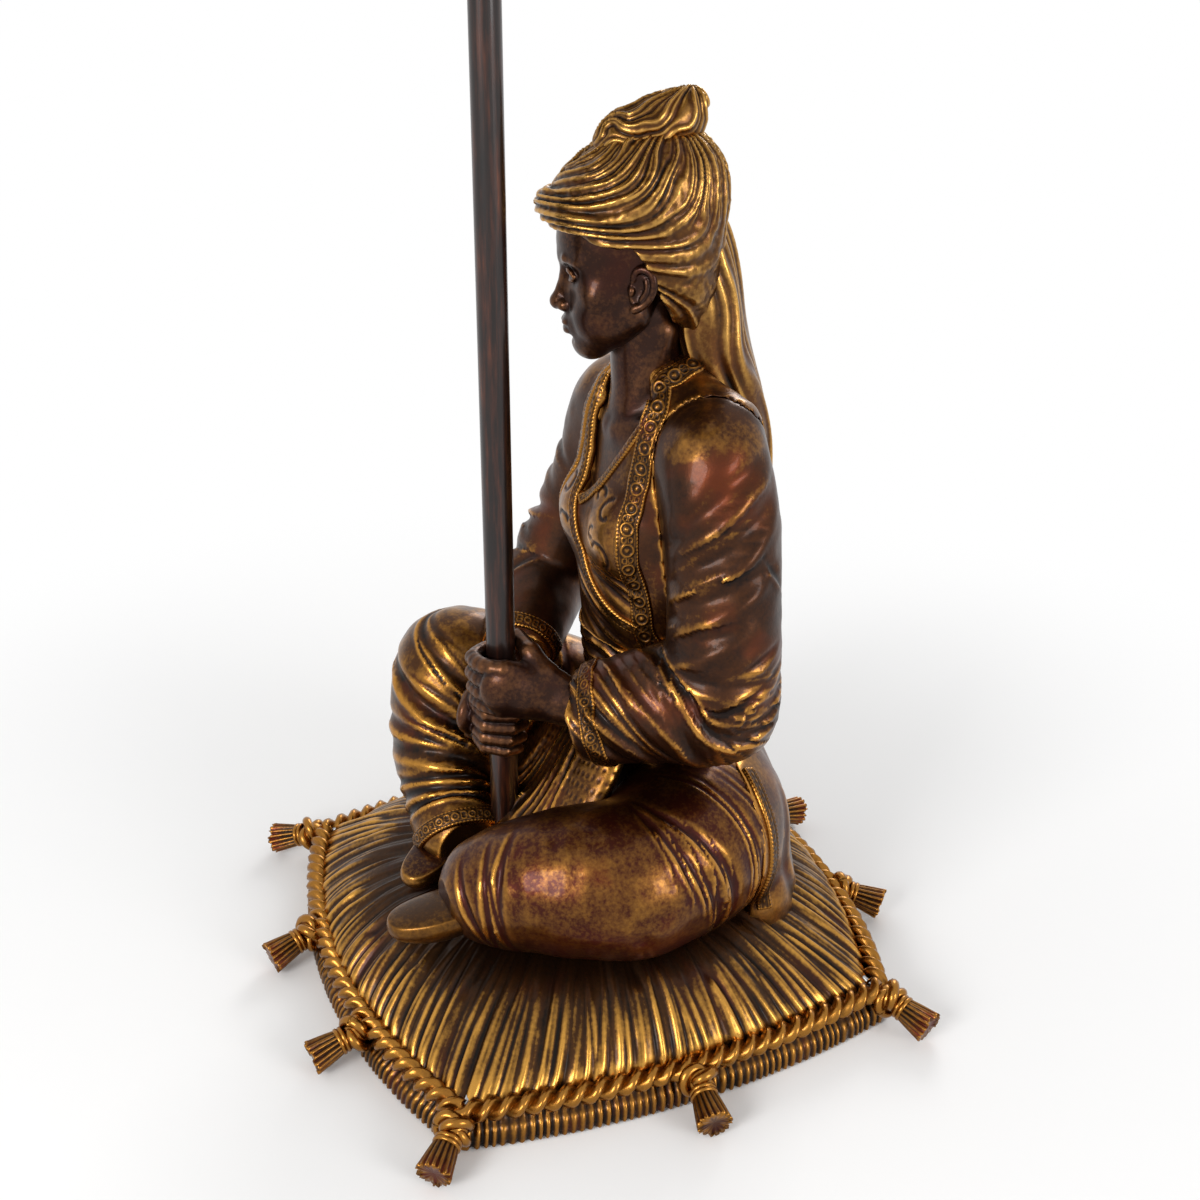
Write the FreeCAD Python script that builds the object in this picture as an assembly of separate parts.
import FreeCAD, Part
import math
import os

# A figural table lamp: a robed woman sits cross-legged on a tasselled cushion and holds a
# staff, and the staff is the lamp's stem.  All sizes are millimetres.  The frame has +Z up,
# its origin on the resting face under the middle of the cushion, the figure facing -Y and
# her left hand side towards +X.

V = FreeCAD.Vector

# ---------------------------------------------------------------- driving dimensions
# cushion, measured to the middle of its rope border
CUSHION_HALF_X = 138.0      # centre to a corner, across the figure
CUSHION_HALF_Y = 123.0      # centre to a corner, front to back
BOW_FRONT = 28.0            # how far the front and back edges bulge past the corners
BOW_SIDE = 15.0             # the same for the two sides
ROPE_Z = 20.0               # height of the rope border
ROPE_R = 4.6
CUSHION_TOP = 74.0
SHELL_WALL = 5.0
SEAT_GAP = 0.25             # between the cushion and what is fixed on its curved face
SKIRT_OUT = 8.0             # the gathered skirt stands out past the rope line
SKIRT_FOOT = 0.8            # the skirt ends this far above the table

FELT_T = 2.0
PLATE_T = 3.0
PLATE_GAP = 1.5
POST_X = 88.0
POST_Y = 78.0
POST_R = 7.0
PLATE_SCREW_R = 2.0
PLATE_SCREW_LEN = 14.0
SCREW_HEAD_R = 4.0
SCREW_HEAD_H = 2.0
SCREW_FIT = 0.05

KNOT_R = 8.6
TASSEL_LEN = 36.0
TASSEL_WAIST_R = 5.6
TASSEL_END_R = 8.2
TASSEL_TILT = 17.0          # degrees below level
TASSEL_SEAM = 35.0          # turns the casting's parting line off the top
STUD_R = 1.5
STUD_LEN = 15.0
STUD_FIT = 0.05

INLET_Z = 10.5
INLET_R = 5.0
BUSHING_BORE_R = 3.4
BUSHING_FLANGE_R = 7.0
BUSHING_FLANGE_T = 2.0

# the staff and the lamp pipe inside it
STAFF_Y = -47.0
STAFF_R = 7.95              # a 5/8 inch tube
STAFF_WALL = 1.0
STAFF_TOP = 636.0
PIPE_R = 4.85               # 1/8 IP lamp pipe
PIPE_BORE_R = 3.2
BOSS_R = 15.0
BOSS_DROP = 6.0
HAND_FIT = 0.15

WASHER_R = 12.0
WASHER_T = 1.6
LOCKWASHER_R = 8.5
LOCKWASHER_T = 1.2
NUT_FLAT = 15.0
NUT_T = 5.0
PIPE_BELOW_NUT = 4.0
PIPE_FIT = 0.1

# lamp holder, harp, bulb and shade
CAP_R = 12.5
CAP_T = 9.0
SADDLE_T = 2.2
SADDLE_HALF = 24.0
SADDLE_WIDTH = 13.0
SADDLE_EAR_H = 17.0
SOCKET_CAP_R = 17.0
SOCKET_CAP_H = 20.0
SOCKET_R = 16.2
SOCKET_WALL = 0.6
SOCKET_H = 44.0
LINER_T = 0.9
CORE_H = 20.0
SCREW_SHELL_R = 13.4
SCREW_SHELL_T = 0.5
KNOB_R = 6.0
KNOB_LEN = 13.0
KNOB_SHAFT_R = 2.0
KNOB_Z_ABOVE_CAP = 9.0
KNOB_FIT = 0.06

HARP_WIRE_R = 1.9
HARP_HALF = 54.0
HARP_TOP = 868.0
HARP_FIT = 0.06
FERRULE_R = 3.8
FERRULE_H = 11.0
FERRULE_SEAT = 0.3
FERRULE_LIFT = 9.0          # the harp's legs stay straight this far above the ferrules
STUD_TOP_R = 3.1            # 1/4-27 shade thread
STUD_TOP_H = 15.0

BULB_R = 30.0
BULB_BASE_R = 12.7
BULB_BASE_H = 22.0
BULB_FIT = 0.15
BULB_NECK_H = 26.0

SHADE_BOTTOM_Z = 642.0
SHADE_HEIGHT = 236.0
SHADE_BOTTOM_R = 182.0
SHADE_TOP_R = 122.0
SHADE_T = 1.2
SHADE_WIRE_R = 1.5
SPIDER_HUB_R = 11.0
SPIDER_HUB_T = 1.8
SPIDER_FIT = 0.2
FINIAL_R = 9.0
FINIAL_H = 24.0

# the figure
BODY_WALL = 4.5
CAST_WALL = 4.5
BAND_LIFT = 2.4             # how far embroidered bands stand out
SASH_LOW = 158.0
SASH_HIGH = 204.0
HEAD_YAW = -20.0            # the head turns to her right
HEAD_PITCH = 6.0
HEAD_AT = (-1.0, 33.5, 363.0)
EAR_OUT = 30.5

os.makedirs("parts", exist_ok=True)
NODES = {}


def save(name, shape):
    """Keeps a finished node under its name."""
    NODES[name] = shape


# ---------------------------------------------------------------- shape helpers
def closed_curve(points):
    """One smooth closed wire through the points."""
    curve = Part.BSplineCurve()
    curve.interpolate(Points=points, PeriodicFlag=True)
    return Part.Wire([curve.toShape()])


def oval(centre, across, along, rx, ry, count=12):
    """A closed oval of half widths rx and ry on the unit directions across and along."""
    points = []
    for i in range(count):
        a = 2.0 * math.pi * i / count
        points.append(centre + across * (rx * math.cos(a)) + along * (ry * math.sin(a)))
    return closed_curve(points)


def stack(levels, cap=True):
    """A solid through level ovals (z, cx, cy, rx, ry), lowest first."""
    wires = [oval(V(cx, cy, z), V(1, 0, 0), V(0, 1, 0), rx, ry) for z, cx, cy, rx, ry in levels]
    return Part.makeLoft(wires, cap, False)


def limb(chain, round_start=True, round_end=True, flat=1.0, wide=V(1, 0, 0)):
    """A tapering limb through (x, y, z, r) stations.  Rounded ends get two more rings.
    flat below 1 thins the limb square to the wide direction."""
    pts = [V(x, y, z) for x, y, z, r in chain]
    radii = [s[3] for s in chain]
    last = len(pts) - 1
    tangents = []
    for i in range(len(pts)):
        t = pts[min(i + 1, last)] - pts[max(i - 1, 0)]
        tangents.append(t.normalize())
    rings = []
    if round_start:
        for out, share in ((0.90, 0.40), (0.55, 0.80)):
            rings.append((pts[0] - tangents[0] * (radii[0] * out), tangents[0], radii[0] * share))
    for p, t, r in zip(pts, tangents, radii):
        rings.append((p, t, r))
    if round_end:
        for out, share in ((0.55, 0.80), (0.90, 0.40)):
            rings.append((pts[last] + tangents[last] * (radii[last] * out), tangents[last],
                          radii[last] * share))
    wires = []
    across = wide
    for p, t, r in rings:
        across = (across - t * across.dot(t)).normalize()
        up = t.cross(across).normalize()
        wires.append(oval(p, across, up, r, r * flat))
    return Part.makeLoft(wires, True, False)


def tube(radius, bore, z0, z1, x=0.0, y=0.0):
    """An upright tube, or a plain cylinder when the bore is 0."""
    body = Part.makeCylinder(radius, z1 - z0, V(x, y, z0))
    if bore > 0:
        body = body.cut(Part.makeCylinder(bore, z1 - z0 + 2, V(x, y, z0 - 1)))
    return body


def turned(profile, x=0.0, y=0.0):
    """A solid turned about the upright axis at x, y from a closed (r, z) outline."""
    points = [V(x + r, y, z) for r, z in profile]
    face = Part.Face(Part.makePolygon(points + [points[0]]))
    return face.revolve(V(x, y, 0), V(0, 0, 1), 360)


def hexagon(flat, z0, z1, x, y):
    """A hexagonal nut blank of that size across its flats."""
    corner = flat / math.sqrt(3)
    points = [V(x + corner * math.cos(math.pi * k / 3), y + corner * math.sin(math.pi * k / 3), z0)
              for k in range(7)]
    return Part.Face(Part.makePolygon(points)).extrude(V(0, 0, z1 - z0))


def fuse_all(shapes):
    """The shapes joined into one, with the seams between them tidied."""
    joined = shapes[0]
    for s in shapes[1:]:
        joined = joined.fuse(s)
    return joined.removeSplitter()


def cut_all(shape, tools):
    """The shape less every tool."""
    for t in tools:
        shape = shape.cut(t)
    return shape


def biggest(shape):
    """The largest solid, without the crumbs that a cut can leave."""
    return max(shape.Solids, key=lambda s: s.Volume)


# ---------------------------------------------------------------- cushion
def cushion_outline(z, corner, middle, grow=0.0):
    """The four bowed edges at one height: corner and middle are shares of the rope line."""
    cx = CUSHION_HALF_X * corner + grow
    cy = CUSHION_HALF_Y * corner + grow
    mx = (CUSHION_HALF_X + BOW_SIDE) * middle + grow
    my = (CUSHION_HALF_Y + BOW_FRONT) * middle + grow
    corners = [V(cx, -cy, z), V(cx, cy, z), V(-cx, cy, z), V(-cx, -cy, z)]
    middles = [V(mx, 0, z), V(0, my, z), V(-mx, 0, z), V(0, -my, z)]
    edges = []
    for i in range(4):
        edges.append(Part.Arc(corners[i], middles[i], corners[(i + 1) % 4]).toShape())
    return Part.Wire(edges)


# share of the dome's height, corner share and middle share of the outline there
DOME = [(0.20, 0.905, 0.980), (0.46, 0.765, 0.895), (0.70, 0.600, 0.745),
        (0.88, 0.390, 0.500), (0.97, 0.180, 0.240)]


def cushion_solid(inset):
    """The cushion's form, drawn in by the inset: 0 gives the outside."""
    foot = [cushion_outline(SKIRT_FOOT if inset == 0 else -1.0, 1.0, 1.0, SKIRT_OUT - inset),
            cushion_outline(ROPE_Z * 0.45, 1.0, 1.0, SKIRT_OUT * 0.94 - inset),
            cushion_outline(ROPE_Z * 0.70, 1.0, 1.0, SKIRT_OUT * 0.30 - inset),
            cushion_outline(ROPE_Z, 1.0, 1.0, -inset)]
    rise = CUSHION_TOP - ROPE_Z - inset
    dome = [foot[-1]]
    for share, corner, middle in DOME:
        dome.append(cushion_outline(ROPE_Z + rise * share, corner, middle, -inset * (1 - share)))
    skirt = Part.makeLoft(foot, True, True)
    return skirt.fuse(Part.makeLoft(dome, True, False))


CUSHION_OUT = cushion_solid(0.0)
CUSHION_SEAT = cushion_solid(-SEAT_GAP)
CUSHION_IN = cushion_solid(SHELL_WALL)
BOSS_Z = CUSHION_TOP - SHELL_WALL - BOSS_DROP
PLATE_TOP = FELT_T + PLATE_T


def post_places():
    """The four plate posts."""
    return [(sx * POST_X, sy * POST_Y) for sx in (-1, 1) for sy in (-1, 1)]


def edge_point(side, share):
    """A point on the rope line and its outward heading in degrees.  share runs -1 to 1."""
    if side in ("front", "back"):
        s = -1 if side == "front" else 1
        at = V(CUSHION_HALF_X * share, s * (CUSHION_HALF_Y + BOW_FRONT * (1 - share * share)), ROPE_Z)
        slope = -2 * BOW_FRONT * share / CUSHION_HALF_X
        return at, math.degrees(math.atan2(s, -s * slope * s))
    s = -1 if side == "right" else 1
    at = V(s * (CUSHION_HALF_X + BOW_SIDE * (1 - share * share)), CUSHION_HALF_Y * share, ROPE_Z)
    return at, 0.0 if s > 0 else 180.0


# node name, side, share along it, heading in degrees from +X
TASSELS = [
    ("tassel_corner_front_left", "front", 1.0, -43.0),
    ("tassel_front_left", "front", 0.40, -84.0),
    ("tassel_front_right", "front", -0.30, -78.0),
    ("tassel_corner_front_right", "front", -1.0, -124.0),
    ("tassel_side_left", "left", 0.0, -7.0),
    ("tassel_side_right", "right", 0.0, 184.0),
    ("tassel_corner_back_left", "back", 1.0, 26.0),
    ("tassel_back_left", "back", 0.29, 52.0),
    ("tassel_back_right", "back", -1 / 3, 98.0),
    ("tassel_corner_back_right", "back", -1.0, 138.0),
]


def tassel_blank():
    """A tassel along +X from its root: a knot, a binding and a flared skirt of strands."""
    neck = KNOT_R * 1.75
    outline = [V(0, 0, 0)]
    for i in range(1, 6):
        a = math.pi * i / 7
        outline.append(V(KNOT_R * (1 - math.cos(a)), 0, KNOT_R * math.sin(a)))
    outline += [V(neck, 0, TASSEL_WAIST_R), V(TASSEL_LEN * 0.75, 0, TASSEL_END_R * 0.92),
                V(TASSEL_LEN, 0, TASSEL_END_R), V(TASSEL_LEN, 0, 0)]
    face = Part.Face(Part.makePolygon(outline + [outline[0]]))
    blank = face.revolve(V(0, 0, 0), V(1, 0, 0), 360)
    blank.rotate(V(0, 0, 0), V(1, 0, 0), TASSEL_SEAM)
    return blank


def stud_blank(radius, start, length):
    """A stud along +X."""
    return Part.makeCylinder(radius, length, V(start, 0, 0), V(1, 0, 0))


def set_at(shape, at, heading):
    """Tips a piece made along +X down by the tassels' tilt, turns it and puts it in place."""
    moved = shape.copy()
    moved.rotate(V(0, 0, 0), V(0, 1, 0), TASSEL_TILT)
    moved.rotate(V(0, 0, 0), V(0, 0, 1), heading)
    moved.translate(at)
    return moved


def build_cushion():
    """Shell, rope, tassels, studs, plate, felt, screws and the cord bushing."""
    shell = CUSHION_OUT.cut(CUSHION_IN)
    boss = tube(BOSS_R, 0, BOSS_Z, CUSHION_TOP, 0, STAFF_Y).common(CUSHION_OUT)
    shell = shell.fuse(boss)
    for x, y in post_places():
        shell = shell.fuse(tube(POST_R, 0, PLATE_TOP, CUSHION_TOP, x, y).common(CUSHION_OUT))
    holes = [tube(PIPE_R + PIPE_FIT, 0, 0, CUSHION_TOP + 5, 0, STAFF_Y)]
    for x, y in post_places():
        holes.append(tube(PLATE_SCREW_R + SCREW_FIT, 0, 0, PLATE_TOP + PLATE_SCREW_LEN, x, y))
    back = CUSHION_HALF_Y + BOW_FRONT
    holes.append(Part.makeCylinder(INLET_R, 40, V(0, back - 20, INLET_Z), V(0, 1, 0)))
    tassels = []
    studs = []
    for name, side, share, heading in TASSELS:
        at, _ = edge_point(side, share)
        tassel = set_at(tassel_blank(), at, heading)
        hole = set_at(stud_blank(STUD_R + STUD_FIT, -STUD_LEN * 0.6, STUD_LEN * 0.6 + KNOT_R), at, heading)
        stud = set_at(stud_blank(STUD_R, -STUD_LEN * 0.6, STUD_LEN * 0.6 + KNOT_R), at, heading)
        tassels.append((name, biggest(tassel.cut(CUSHION_SEAT).cut(hole))))
        studs.append(stud)
        holes.append(hole)
    shell = biggest(cut_all(shell, holes).removeSplitter())

    rope = []
    for i, edge in enumerate(cushion_outline(ROPE_Z, 1.0, 1.0, 0.4 * ROPE_R).Edges):
        first = edge.FirstParameter
        start = edge.valueAt(first)
        ring = Part.Wire([Part.Circle(start, edge.tangentAt(first), ROPE_R).toShape()])
        run = Part.Wire([edge]).makePipeShell([ring], True, True)
        for name, tassel in tassels:
            run = run.cut(tassel)
        for stud in studs:
            run = run.cut(stud)
        rope += run.cut(CUSHION_SEAT).Solids
    save("cushion_shell", shell)
    save("rope_border", Part.makeCompound([s for s in rope if s.Volume > 50.0]))
    for name, tassel in tassels:
        save(name, tassel)
    save("tassel_studs", Part.makeCompound(studs))

    plate_in = SHELL_WALL - SKIRT_OUT + PLATE_GAP
    outline = cushion_outline(FELT_T, 1.0, 1.0, -plate_in)
    plate = Part.Face(outline).extrude(V(0, 0, PLATE_T))
    screws = []
    for x, y in post_places():
        screw = fuse_all([
            Part.makeCone(SCREW_HEAD_R, PLATE_SCREW_R, SCREW_HEAD_H, V(x, y, FELT_T)),
            tube(PLATE_SCREW_R, 0, FELT_T + SCREW_HEAD_H, PLATE_TOP + PLATE_SCREW_LEN - 1, x, y)])
        screws.append(screw)
        sink = Part.makeCone(SCREW_HEAD_R, PLATE_SCREW_R, SCREW_HEAD_H, V(x, y, FELT_T))
        plate = plate.cut(sink).cut(tube(PLATE_SCREW_R + SCREW_FIT, 0, 0, PLATE_TOP + 1, x, y))
    save("base_plate", plate)
    save("plate_screws", Part.makeCompound(screws))
    save("felt_pad", Part.Face(cushion_outline(0.0, 1.0, 1.0, -plate_in)).extrude(V(0, 0, FELT_T)))

    wall = back + SKIRT_OUT
    body = Part.makeCylinder(INLET_R, 14, V(0, wall - 12, INLET_Z), V(0, 1, 0))
    flange = Part.makeCylinder(BUSHING_FLANGE_R, BUSHING_FLANGE_T + 2, V(0, wall - 2, INLET_Z), V(0, 1, 0))
    bushing = body.fuse(flange.cut(CUSHION_SEAT))
    bore = Part.makeCylinder(BUSHING_BORE_R, 40, V(0, wall - 20, INLET_Z), V(0, 1, 0))
    save("cord_bushing", biggest(bushing.cut(bore).removeSplitter()))


# ---------------------------------------------------------------- figure
def body_levels(thin):
    """Levels of the robed body from the seat to the collar, thinned by the wall."""
    rows = [(60.0, 0, 62, 88, 50), (84.0, 0, 62, 91, 52), (108.0, 0, 62, 82, 51),
            (135.0, 0, 60, 62, 46), (160.0, 0, 55, 47, 42), (190.0, 0, 51, 45, 42),
            (222.0, 0, 48, 50, 42), (252.0, 0, 46, 55, 42), (282.0, 0, 47, 60, 40),
            (304.0, 0, 47, 64, 35), (322.0, 0, 44, 59, 30), (338.0, 0, 39, 45, 25),
            (350.0, 0, 33, 25, 20), (356.0, 0, 31, 20, 17)]
    if thin == 0:
        return rows
    return [(40.0, 0, 62, 60, 30)] + [(z, cx, cy, rx - thin, ry - thin) for z, cx, cy, rx, ry in rows[:-2]]


def place_head(shape):
    """From the head's own frame, chin at the origin and face towards -Y, to its place."""
    moved = shape.copy()
    moved.rotate(V(0, 0, 0), V(1, 0, 0), HEAD_PITCH)
    moved.rotate(V(0, 0, 0), V(0, 0, 1), HEAD_YAW)
    moved.translate(V(*HEAD_AT))
    return moved


def head_form():
    """Jaw, face and skull, with a plain nose and ears."""
    skull = stack([(-1, 0, -24, 9, 7), (5, 0, -20, 16, 14), (17, 0, -13, 23.5, 23),
                   (33, 0, -8, 28, 29.5), (50, 0, -4, 30, 34), (68, 0, 0, 30, 36),
                   (82, 0, 2, 25, 31), (91, 0, 4, 14, 18)])
    nose = limb([(0, -36.5, 44, 2.6), (0, -39.0, 36, 3.4), (0, -41.0, 30, 4.2)])
    ears = [limb([(sx * EAR_OUT, 1, 43, 3.6), (sx * (EAR_OUT + 0.5), 3, 36, 4.2),
                  (sx * (EAR_OUT - 1.0), 1, 27, 3.0)]) for sx in (-1, 1)]
    return fuse_all([skull, nose] + ears)


def hair_form():
    """The hair as one mass over the skull, low at the nape and swept up off the brow."""
    cap = stack([(22, 0, 24, 20, 16), (32, 0, 20, 29, 25), (46, 0, 13, 35, 36), (60, 0, 6, 38, 45),
                 (76, 0, 6, 38.5, 48), (93, 0, 10, 34, 41), (105, 0, 14, 23, 28), (111, 0, 15, 12, 15)])
    brow = Part.makeBox(120, 60, 60, V(-60, -62, -6))
    brow.rotate(V(0, -2, 54), V(1, 0, 0), -14)
    return cap.cut(brow)


BUN = [(0, -2, 110, 10.0), (0, 8, 113, 14.5), (0, 19, 117, 15.5), (0, 29, 122, 12.0), (0, 34, 126, 6.5)]
TAIL = [(0, 66, 420, 16), (1, 66, 398, 22), (2, 70, 368, 24), (3, 80, 338, 23), (4, 90, 308, 20),
        (5, 96, 276, 15), (5, 96, 250, 8)]
LAP = [(2, 26, 166, 22), (4, 4, 150, 25), (5, -12, 128, 28), (6, -27, 106, 32), (8, -46, 92, 34),
       (12, -66, 84, 30)]
LAP_FLAT = 0.27
ARM_LEFT = [(56, 50, 321, 25), (68, 51, 284, 26), (77, 49, 235, 26), (81, 48, 196, 27)]
FOREARM_LEFT = [(81, 49, 186, 28), (66, 24, 188, 28), (40, -15, 175, 23)]
ARM_RIGHT = [(-54, 48, 320, 24), (-66, 45, 284, 24), (-78, 32, 242, 23), (-85, 16, 206, 23)]
FOREARM_RIGHT = [(-85, 13, 200, 23), (-60, -6, 192, 21), (-34, -24, 180, 17)]
THIGH_LEFT = [(46, 64, 96, 47), (72, 30, 98, 43), (92, -8, 98, 36)]
SHIN_LEFT = [(92, -10, 100, 37), (78, -42, 97, 32), (54, -78, 85, 21)]
THIGH_RIGHT = [(-44, 56, 98, 46), (-62, 0, 134, 37), (-74, -48, 160, 32)]
SHIN_RIGHT = [(-75, -52, 158, 33), (-55, -63, 118, 29), (-25, -69, 84, 21)]
SHOE_LEFT = [(56, -88, 82, 13), (52, -106, 78, 14), (48, -122, 75, 10)]
SHOE_RIGHT = [(-19, -74, 80, 12), (-5, -90, 77, 13), (5, -103, 74, 9)]
HAND_LEFT = [(6, -42, 193, 12), (20, -31, 188, 11), (34, -20, 181, 11), (46, -8, 176, 13)]
HAND_RIGHT = [(-6, -42, 163, 12), (-20, -33, 170, 10.5), (-34, -24, 180, 11)]
NECK = [(0, 31, 326, 22), (0, 27, 344, 18), (-1, 28, 362, 17.5), (-1, 33, 384, 17)]
GRIP_LEFT = (180.0, 205.0)
GRIP_RIGHT = (146.0, 176.0)


def grip(z0, z1):
    """A closed hand about the staff: four finger ridges in a ring."""
    fingers = 4
    step = (z1 - z0) / fingers
    outline = [(STAFF_R - 1, z0)]
    for i in range(fingers):
        outline.append((STAFF_R + 4.2, z0 + step * i))
        outline.append((STAFF_R + 6.6, z0 + step * (i + 0.3)))
        outline.append((STAFF_R + 6.6, z0 + step * (i + 0.7)))
    outline += [(STAFF_R + 4.2, z1), (STAFF_R - 1, z1)]
    return turned(outline, 0, STAFF_Y)


def cuff(chain, depth, lip):
    """The hollow of a wide sleeve end: a cone that opens past the chain's last ring."""
    x0, y0, z0, r0 = chain[-2]
    x1, y1, z1, r1 = chain[-1]
    along = (V(x1, y1, z1) - V(x0, y0, z0)).normalize()
    start = V(x1, y1, z1) - along * depth
    return Part.makeCone(r1 - 2 * lip, r1 - lip, depth + 2, start, along)


def end_band(chain, width, lift, back=0.0):
    """A raised band round the last of a limb, set back from its end."""
    x0, y0, z0, r0 = chain[-2]
    x1, y1, z1, r1 = chain[-1]
    run = V(x1, y1, z1) - V(x0, y0, z0)
    slope = (r1 - r0) / run.Length
    along = run.normalize()
    end = V(x1, y1, z1) - along * back
    start = end - along * width
    r_end = r1 - slope * back + lift
    return limb([(start.x, start.y, start.z, r_end - slope * width), (end.x, end.y, end.z, r_end)],
                False, False)


def core(chains, ends):
    """The hollow inside a cast limb: each chain thinned by the wall and stopped short of its
    far end by the length given."""
    parts = []
    for chain, short in zip(chains, ends):
        rows = [(x, y, z, r - CAST_WALL) for x, y, z, r in chain]
        last = V(*chain[-1][:3])
        stop = last + (V(*chain[-2][:3]) - last).normalize() * (short + rows[-1][3] * 0.9)
        rows[-1] = (stop.x, stop.y, stop.z, rows[-1][3])
        parts.append(limb(rows))
    return parts


def strip(path, width, lift):
    """A raised band on the front of the body, following (x, z) points."""
    left = []
    right = []
    for i, (x, z) in enumerate(path):
        x0, z0 = path[max(i - 1, 0)]
        x1, z1 = path[min(i + 1, len(path) - 1)]
        run = math.hypot(x1 - x0, z1 - z0)
        nx, nz = -(z1 - z0) / run, (x1 - x0) / run
        left.append(V(x + nx * width / 2, -40, z + nz * width / 2))
        right.append(V(x - nx * width / 2, -40, z - nz * width / 2))
    outline = left + right[::-1]
    prism = Part.Face(Part.makePolygon(outline + [outline[0]])).extrude(V(0, 80, 0))
    return grown_body(lift).common(prism)


def grown_body(lift, low=0.0, high=400.0):
    """The body's outside, larger by the lift, between two heights."""
    rows = [(z, cx, cy, rx + lift, ry + lift) for z, cx, cy, rx, ry in body_levels(0)]
    form = stack(rows)
    slab = Part.makeBox(400, 400, high - low, V(-200, -200, low))
    return form.common(slab)


def mirrored(path):
    """The same path on her other side."""
    return [(-x, z) for x, z in path]


LAPEL = [(17, 354), (27, 334), (33, 308), (35, 280), (34, 250), (35, 222), (39, 196)]
COLLAR_OVER = [(12, 356), (7, 334), (0, 308), (-9, 280), (-16, 250), (-20, 222), (-22, 204)]
COLLAR_UNDER = [(-12, 356), (-7, 334), (-2, 314), (6, 292)]


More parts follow.
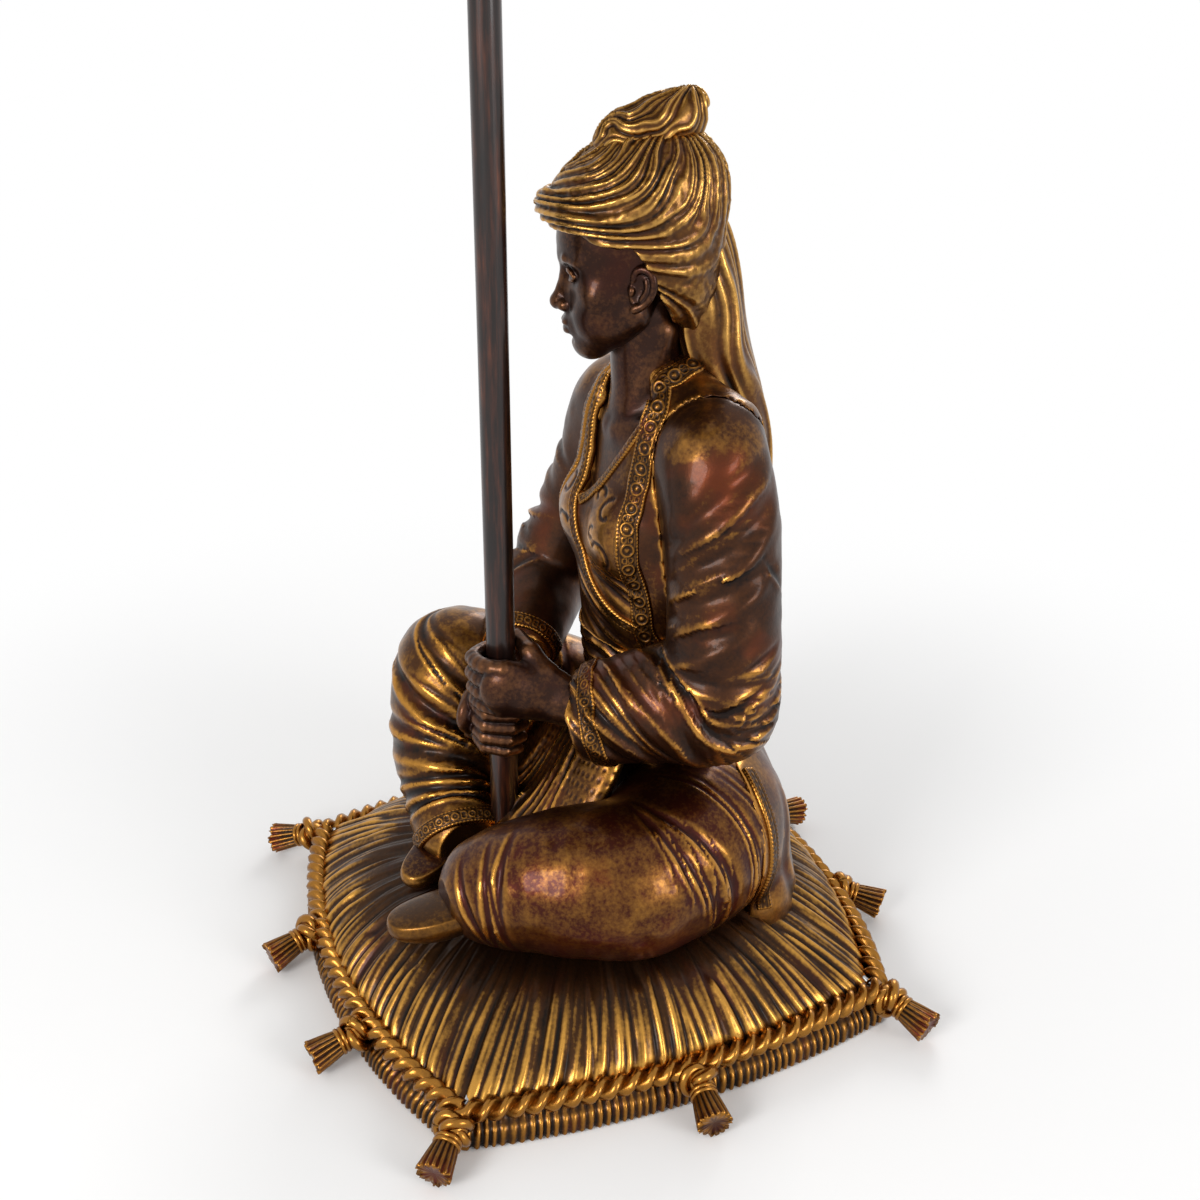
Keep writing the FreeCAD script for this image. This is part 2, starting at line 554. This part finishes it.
def build_figure():
    """Body, head, hair, arms, hands, legs, shoes, and the cloth and bands on them."""
    bore = tube(STAFF_R + HAND_FIT, 0, 60, STAFF_TOP, 0, STAFF_Y)
    outer = stack(body_levels(0))
    hollow = stack(body_levels(BODY_WALL))

    head = place_head(head_form())
    neck = limb(NECK, False, True)
    inside = place_head(stack([(14, 0, -12, 17, 17), (33, 0, -6, 23, 24), (50, 0, -3, 25, 28),
                               (68, 0, 0, 25, 30), (80, 0, 1, 18, 22)]))
    throat = limb([(x, y, z, r - CAST_WALL - 2) for x, y, z, r in NECK], False, False)
    skull = head.fuse(neck).removeSplitter()
    hair = place_head(hair_form())
    bun = place_head(limb(BUN, flat=0.85))
    tail_hair = limb(TAIL, flat=0.8)
    save("head", biggest(cut_all(skull, [outer, inside, throat])))
    save("hair", biggest(hair.cut(skull)))
    save("hair_bun", biggest(cut_all(bun, [hair, skull])))
    save("hair_tail", biggest(cut_all(tail_hair, [hair, skull, outer])))

    leg_left = limb(THIGH_LEFT).fuse(limb(SHIN_LEFT, True, False)).removeSplitter()
    leg_right = limb(THIGH_RIGHT).fuse(limb(SHIN_RIGHT, True, False)).removeSplitter()
    core_left = core([THIGH_LEFT, SHIN_LEFT], [0, 6])
    core_right = core([THIGH_RIGHT, SHIN_RIGHT], [0, 6])
    coat = stack([(40, 0, 76, 98, 44), (64, 0, 76, 97, 44), (90, 0, 73, 88, 43), (118, 0, 70, 70, 40),
                  (140, 0, 66, 58, 38)])
    coat = coat.common(Part.makeBox(400, 200, 400, V(-200, 58, 0)))
    coat = biggest(cut_all(coat, [outer, leg_left, leg_right, CUSHION_SEAT]))
    leg_left = biggest(cut_all(leg_left, [outer, CUSHION_SEAT, bore]))
    leg_right = biggest(cut_all(leg_right, [outer, CUSHION_SEAT, leg_left, bore]))

    sash = grown_body(BAND_LIFT + 1.0, SASH_LOW, SASH_HIGH)
    sash = biggest(cut_all(sash, [outer, leg_left, leg_right]))
    sleeve_left = limb(ARM_LEFT).fuse(limb(FOREARM_LEFT, True, False)).removeSplitter()
    sleeve_right = limb(ARM_RIGHT).fuse(limb(FOREARM_RIGHT, True, False)).removeSplitter()
    cone_left = cuff(FOREARM_LEFT, 14.0, 2.5)
    cone_right = cuff(FOREARM_RIGHT, 10.0, 2.5)
    body_parts = [outer, sash]
    sleeve_left = biggest(cut_all(sleeve_left, body_parts + [leg_left, cone_left]))
    sleeve_right = biggest(cut_all(sleeve_right, body_parts + [leg_right, cone_right]))
    cuff_left = end_band(FOREARM_LEFT, 7.0, BAND_LIFT * 0.6, 1.0)
    cuff_right = end_band(FOREARM_RIGHT, 6.0, BAND_LIFT * 0.6, 1.0)
    bands = [biggest(cut_all(cuff_left, [sleeve_left, cone_left])),
             biggest(cut_all(cuff_right, [sleeve_right, cone_right, leg_right]))]
    sleeve_left = biggest(cut_all(sleeve_left, core([ARM_LEFT, FOREARM_LEFT], [0, 22])))
    sleeve_right = biggest(cut_all(sleeve_right, core([ARM_RIGHT, FOREARM_RIGHT], [0, 18])))

    shoe_left = biggest(cut_all(limb(SHOE_LEFT), [leg_left, CUSHION_SEAT]))
    shoe_right = biggest(cut_all(limb(SHOE_RIGHT), [leg_right, leg_left, shoe_left, CUSHION_SEAT]))
    solid_left, solid_right = leg_left, leg_right
    leg_left = biggest(cut_all(leg_left, core_left))
    leg_right = biggest(cut_all(leg_right, core_right))

    hand_left = grip(*GRIP_LEFT).fuse(limb(HAND_LEFT, True, False)).removeSplitter()
    hand_left = biggest(cut_all(hand_left, [bore, sleeve_left, solid_right] + bands))
    hand_right = grip(*GRIP_RIGHT).fuse(limb(HAND_RIGHT, True, False)).removeSplitter()
    hand_right = biggest(cut_all(hand_right, [bore, sleeve_right, hand_left, solid_right] + bands))

    cloth = limb(LAP, flat=LAP_FLAT)
    cloth = biggest(cut_all(cloth, [outer, sash, solid_left, solid_right, CUSHION_SEAT, bore, hand_right,
                                    shoe_left, shoe_right]))

    over = biggest(strip(COLLAR_OVER, 8.0, BAND_LIFT).cut(outer).cut(sash))
    under = biggest(strip(COLLAR_UNDER, 8.0, BAND_LIFT).cut(outer).cut(over))
    lapels = []
    for path in (LAPEL, mirrored(LAPEL)):
        band = strip(path, 12.0, BAND_LIFT).cut(outer)
        lapels.append(biggest(cut_all(band, [over, under, sash, sleeve_left, sleeve_right, skull])))
    save("body", biggest(cut_all(outer, [hollow, CUSHION_SEAT])))
    save("sash", sash)
    save("coat_skirt", coat)
    save("lapel_bands", Part.makeCompound(lapels))
    save("collar_bands", Part.makeCompound([biggest(s.cut(skull)) for s in (over, under)]))
    save("cuff_bands", Part.makeCompound(bands))
    save("sleeve_left", sleeve_left)
    save("sleeve_right", sleeve_right)
    save("leg_left", leg_left)
    save("leg_right", leg_right)
    save("shoe_left", shoe_left)
    save("shoe_right", shoe_right)
    save("hand_left", hand_left)
    save("hand_right", hand_right)
    save("lap_cloth", cloth)


# ---------------------------------------------------------------- staff and pipe
CAP_Z = STAFF_TOP
SADDLE_Z = CAP_Z + CAP_T
SOCKET_Z = SADDLE_Z + SADDLE_T
SOCKET_SHELL_Z = SOCKET_Z + SOCKET_CAP_H - 4.0


def build_stem():
    """Staff, pipe, nuts, washers and the cap on the staff."""
    staff = tube(STAFF_R, STAFF_R - STAFF_WALL, 60, STAFF_TOP, 0, STAFF_Y)
    save("staff", biggest(staff.cut(CUSHION_SEAT)))
    nut_top = BOSS_Z - WASHER_T - LOCKWASHER_T
    pipe_bottom = nut_top - NUT_T - PIPE_BELOW_NUT
    save("lamp_pipe", tube(PIPE_R, PIPE_BORE_R, pipe_bottom, SOCKET_Z + 9.0, 0, STAFF_Y))
    save("base_washer", tube(WASHER_R, PIPE_R + PIPE_FIT, BOSS_Z - WASHER_T, BOSS_Z, 0, STAFF_Y))
    save("lock_washer", tube(LOCKWASHER_R, PIPE_R + PIPE_FIT, nut_top, BOSS_Z - WASHER_T, 0, STAFF_Y))
    nut = hexagon(NUT_FLAT, nut_top - NUT_T, nut_top, 0, STAFF_Y)
    save("base_nut", nut.cut(tube(PIPE_R, 0, 0, CUSHION_TOP, 0, STAFF_Y)))
    cap = turned([(PIPE_R + PIPE_FIT, CAP_Z), (CAP_R * 0.8, CAP_Z), (CAP_R, CAP_Z + 2), (CAP_R, CAP_Z + 4),
                  (CAP_R * 0.75, CAP_Z + 7), (CAP_R * 0.75, CAP_Z + CAP_T), (PIPE_R + PIPE_FIT, CAP_Z + CAP_T)],
                 0, STAFF_Y)
    save("staff_cap", cap)


# ---------------------------------------------------------------- lamp holder and shade
def build_holder():
    """Harp saddle, lamp holder, switch knob, bulb, harp and its ferrules."""
    y = STAFF_Y
    plate = Part.makeBox(2 * SADDLE_HALF, SADDLE_WIDTH, SADDLE_T, V(-SADDLE_HALF, y - SADDLE_WIDTH / 2, SADDLE_Z))
    parts = [plate]
    peg_z = SADDLE_Z + SADDLE_EAR_H
    for sx in (-1, 1):
        x0 = sx * SADDLE_HALF - (SADDLE_T if sx > 0 else 0)
        parts.append(Part.makeBox(SADDLE_T, SADDLE_WIDTH, SADDLE_EAR_H, V(x0, y - SADDLE_WIDTH / 2, SADDLE_Z)))
    saddle = fuse_all(parts).cut(tube(PIPE_R + PIPE_FIT, 0, SADDLE_Z - 1, SADDLE_Z + 5, 0, y))
    foot_x = SADDLE_HALF + HARP_WIRE_R
    save("harp_saddle", saddle)

    # the harp: two feet beside the saddle's ears, a bowed wire and a threaded stud on top
    foot_z = SADDLE_Z + 2.0
    top = HARP_TOP
    bend_z = peg_z + FERRULE_SEAT + FERRULE_H + FERRULE_LIFT + 1.0
    points = [V(foot_x, y, foot_z), V(foot_x, y, bend_z)]
    bow = [V(foot_x, y, bend_z), V(HARP_HALF - 8, y, peg_z + 55), V(HARP_HALF, y, peg_z + 105),
           V(HARP_HALF - 6, y, top - 42), V(HARP_HALF * 0.5, y, top - 9), V(0, y, top - 2 * HARP_WIRE_R)]
    right = Part.BSplineCurve()
    right.interpolate(Points=bow, InitialTangent=V(0, 0, 1), FinalTangent=V(-1, 0, 0))
    leg = Part.makeCylinder(HARP_WIRE_R, points[1].z - points[0].z, points[0])
    ring = Part.Wire([Part.Circle(bow[0], V(0, 0, 1), HARP_WIRE_R).toShape()])
    arch = Part.Wire([right.toShape()]).makePipeShell([ring], True, False)
    half = leg.fuse(arch)
    other = half.mirror(V(0, y, 0), V(1, 0, 0))
    pad = tube(SPIDER_HUB_R * 0.8, 0, top - 2 * HARP_WIRE_R - 1.5, top, 0, y)
    stud = tube(STUD_TOP_R, 0, top, top + STUD_TOP_H, 0, y)
    save("harp", fuse_all([half, other, pad, stud]))
    for sx, name in ((1, "harp_ferrule_left"), (-1, "harp_ferrule_right")):
        low = SADDLE_Z + SADDLE_EAR_H + FERRULE_SEAT
        save(name, tube(FERRULE_R, HARP_WIRE_R + HARP_FIT, low, low + FERRULE_H, sx * foot_x, y))

    # lamp holder
    z = SOCKET_Z
    cap = turned([(PIPE_R, z), (8.0, z), (8.6, z + 5), (SOCKET_CAP_R - 1, z + 11), (SOCKET_CAP_R, z + SOCKET_CAP_H),
                  (SOCKET_CAP_R - SOCKET_WALL, z + SOCKET_CAP_H), (SOCKET_CAP_R - SOCKET_WALL, z + 15.0),
                  (SOCKET_CAP_R - 1.8, z + 11.5), (8.0, z + 6.5),
                  (8.0, z + 9.0), (PIPE_R, z + 9.0)], 0, y)
    save("socket_cap", cap)
    s0 = SOCKET_SHELL_Z
    s1 = s0 + SOCKET_H
    knob_z = s0 + KNOB_Z_ABOVE_CAP + 4.0
    hole = Part.makeCylinder(KNOB_SHAFT_R + KNOB_FIT, 40, V(0, y, knob_z), V(0, 1, 0))
    save("socket_shell", tube(SOCKET_R, SOCKET_R - SOCKET_WALL, s0, s1, 0, y).cut(hole))
    liner_r = SOCKET_R - SOCKET_WALL
    save("socket_liner", tube(liner_r, liner_r - LINER_T, s0 + 1, s1 - 2, 0, y).cut(hole))
    core_r = liner_r - LINER_T
    # the core stands on the pipe end of the cap and carries the switch and the contacts
    core = tube(core_r, 0, z + 12.5, s0 + CORE_H, 0, y)
    save("switch_core", core.cut(hole).cut(Part.makeCylinder(KNOB_SHAFT_R + 0.5, 12, V(0, y, knob_z), V(0, 1, 0))))
    save("screw_shell", tube(SCREW_SHELL_R, SCREW_SHELL_R - SCREW_SHELL_T, s0 + CORE_H, s1 - 4, 0, y))
    contact = s0 + CORE_H
    save("centre_contact", Part.makeBox(6.0, 4.0, 1.6, V(-3.0, y - 2.0, contact)))
    screws = []
    for sx in (-1, 1):
        screws.append(Part.makeCylinder(2.2, 2.0, V(sx * 7.0, y, z + 10.5)))
    save("terminal_screws", Part.makeCompound(screws))

    shaft = Part.makeCylinder(KNOB_SHAFT_R, SOCKET_R + 4 - 8, V(0, y + 8, knob_z), V(0, 1, 0))
    knob = Part.makeCylinder(KNOB_R, KNOB_LEN - 2, V(0, y + SOCKET_R + 2, knob_z), V(0, 1, 0))
    for k in range(10):
        a = 2 * math.pi * k / 10
        groove = Part.makeCylinder(0.9, KNOB_LEN, V(KNOB_R * 1.05 * math.cos(a), y + SOCKET_R + 3,
                                                    knob_z + KNOB_R * 1.05 * math.sin(a)), V(0, 1, 0))
        knob = knob.cut(groove)
    save("switch_knob", fuse_all([shaft, knob]))

    # bulb
    b0 = contact + 1.6
    base_r = SCREW_SHELL_R - SCREW_SHELL_T - BULB_FIT
    base = turned([(0, b0), (3.5, b0), (base_r - 2, b0 + 4), (base_r, b0 + 6), (base_r, b0 + BULB_BASE_H),
                   (0, b0 + BULB_BASE_H)], 0, y)
    save("bulb_base", base)
    g0 = b0 + BULB_BASE_H
    glass = [V(0, y, g0), V(BULB_BASE_R, y, g0)]
    centre_z = g0 + BULB_NECK_H + BULB_R
    side = [V(BULB_BASE_R, y, g0), V(BULB_BASE_R + 5, y, g0 + 16), V(BULB_R - 3, y, centre_z - 14),
            V(BULB_R, y, centre_z), V(BULB_R * 0.707, y, centre_z + BULB_R * 0.707), V(0, y, centre_z + BULB_R)]
    curve = Part.BSplineCurve()
    curve.interpolate(Points=side, FinalTangent=V(-1, 0, 0), InitialTangent=V(0, 0, 1))
    edges = [Part.LineSegment(glass[0], glass[1]).toShape(), curve.toShape(),
             Part.LineSegment(side[-1], glass[0]).toShape()]
    save("bulb_glass", Part.Face(Part.Wire(edges)).revolve(V(0, y, 0), V(0, 0, 1), 360))


def build_shade():
    """Drum shade, its spider, its bottom ring and the finial."""
    y = STAFF_Y
    z0 = SHADE_BOTTOM_Z
    z1 = z0 + SHADE_HEIGHT
    cone = turned([(SHADE_BOTTOM_R - SHADE_T, z0), (SHADE_BOTTOM_R, z0), (SHADE_TOP_R, z1), (SHADE_TOP_R - SHADE_T, z1)],
                  0, y)
    save("shade_cover", cone)
    slope = (SHADE_BOTTOM_R - SHADE_TOP_R) / SHADE_HEIGHT
    lean = SHADE_WIRE_R * math.hypot(1, slope)

    def wire_ring(z):
        at_wall = SHADE_BOTTOM_R - SHADE_T - slope * (z - z0)
        return Part.makeTorus(at_wall - lean, SHADE_WIRE_R, V(0, y, z))

    save("shade_bottom_ring", wire_ring(z0 + 4.0))
    hub_z = HARP_TOP + SPIDER_FIT
    hub = tube(SPIDER_HUB_R, STUD_TOP_R + SPIDER_FIT, hub_z, hub_z + SPIDER_HUB_T, 0, y)
    top_z = z1 - 4.0
    ring_r = SHADE_BOTTOM_R - SHADE_T - slope * (top_z - z0) - lean
    parts = [hub, wire_ring(top_z)]
    for k in range(3):
        a = math.radians(90 + 120 * k)
        out = V(math.cos(a), math.sin(a), 0)
        start = V(0, y, hub_z + SPIDER_HUB_T / 2) + out * (SPIDER_HUB_R - 2.0)
        end = V(0, y, top_z) + out * ring_r
        arm = Part.makeCylinder(SHADE_WIRE_R * 0.8, (end - start).Length, start, (end - start))
        parts.append(arm)
    save("shade_spider", fuse_all(parts))
    f0 = hub_z + SPIDER_HUB_T + SPIDER_FIT
    fr = STUD_TOP_R + 0.05
    finial = turned([(fr, f0), (FINIAL_R * 0.75, f0), (FINIAL_R * 0.75, f0 + 3), (FINIAL_R * 0.45, f0 + 5),
                     (FINIAL_R * 0.55, f0 + 8), (FINIAL_R, f0 + 13), (FINIAL_R * 0.8, f0 + 19),
                     (FINIAL_R * 0.3, f0 + FINIAL_H), (0, f0 + FINIAL_H), (0, f0 + STUD_TOP_H), (fr, f0 + STUD_TOP_H)],
                    0, y)
    save("finial", finial)


def main():
    """Builds every node and writes one STEP file for each."""
    build_cushion()
    build_figure()
    build_stem()
    build_holder()
    build_shade()
    for name, shape in NODES.items():
        shape.exportStep(os.path.join("parts", name + ".step"))
        solids = shape.Solids
        good = all(s.isValid() and s.Volume > 0 for s in solids)
        print(f"{name:28s} solids {len(solids):2d} volume {shape.Volume / 1000:9.2f} cm3 valid {good}")


main()
